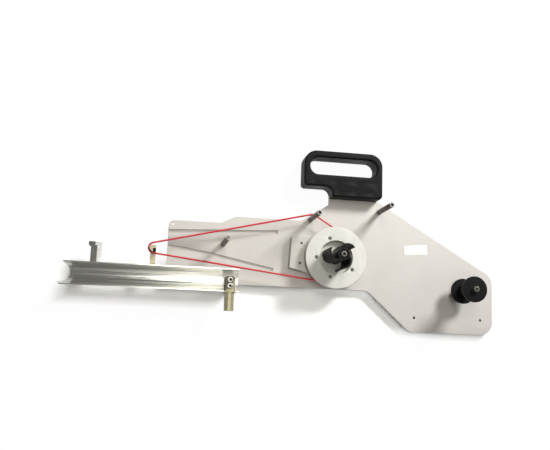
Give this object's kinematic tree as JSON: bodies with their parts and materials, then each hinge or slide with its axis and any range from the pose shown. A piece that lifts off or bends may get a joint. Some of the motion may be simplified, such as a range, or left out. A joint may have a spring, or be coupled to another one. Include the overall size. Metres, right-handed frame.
{
  "type": "strap cutter reel side plate",
  "caption": "Side plate of a strap feeder and cutter with a three-jaw reel hub, drag belt, guide posts, flanged guide spool, product chute and carrying handle.",
  "frame": {"origin": "reel axis at the side plate's front face", "axes": "+X along the plate towards its tail, +Y towards the carrying handle, +Z out of the plate's front face along the reel axis"},
  "size_m": [0.6618, 0.2702, 0.0847],
  "materials": {
    "plate_metal": "satin anodised",
    "machined_aluminium": "satin, machined",
    "polished_steel": "drawn, polished",
    "bright_steel": "turned, bright",
    "dark_steel": "ground, oiled",
    "black_steel": "black oxide",
    "bronze": "sintered, satin",
    "black_plastic": "moulded, satin",
    "cream_plastic": "turned, satin",
    "pale_grey_plastic": "turned, satin",
    "red_urethane": "smooth, slightly glossy",
    "olive_metal": "satin paint",
    "tan_metal": "satin paint",
    "black_metal": "satin paint",
    "pale_metal": "satin"
  },
  "bodies": {
    "frame": {"side_plate": "plate_metal", "carry_handle": "black_plastic", "handle_screws": "black_steel", "guide_post_left": "dark_steel", "guide_post_middle": "dark_steel", "guide_post_right": "dark_steel", "bearing_plate": "machined_aluminium", "bearing_housing": "machined_aluminium", "housing_screws": "black_steel", "hub_bushes": "bronze", "back_screws": "bright_steel", "back_washers": "bright_steel", "spool_stud": "dark_steel", "spool_spacer": "dark_steel", "spool_washer": "black_steel", "spool_screw": "bright_steel", "drag_belt": "red_urethane", "chute": "polished_steel", "chute_spacer": "machined_aluminium", "leg_bracket": "olive_metal", "leg_block": "machined_aluminium", "leg_screws": "bright_steel", "middle_hook": "tan_metal", "belt_stop": "black_plastic", "left_hook": "black_metal", "left_light_bar": "pale_metal"},
    "hub": {"hub_shaft": "dark_steel", "retaining_washer": "dark_steel", "retaining_ring": "dark_steel", "belt_pulley": "pale_grey_plastic", "reel_disc": "cream_plastic", "disc_screws": "bright_steel", "core_claw": "black_plastic", "claw_washer": "bright_steel", "claw_screw": "bright_steel"},
    "spool": {"spool_core": "black_plastic", "spool_back_flange": "black_plastic", "spool_front_flange": "black_plastic"}
  },
  "joints": [
    {"name": "hub_spin", "type": "hinge", "parent": "frame", "child": "hub", "pos_m": [0, 0, 0], "axis": [0, 0, 1], "continuous": true},
    {"name": "spool_spin", "type": "hinge", "parent": "frame", "child": "spool", "pos_m": [0.2013, -0.0413, 0], "axis": [0, 0, 1], "continuous": true}
  ]
}
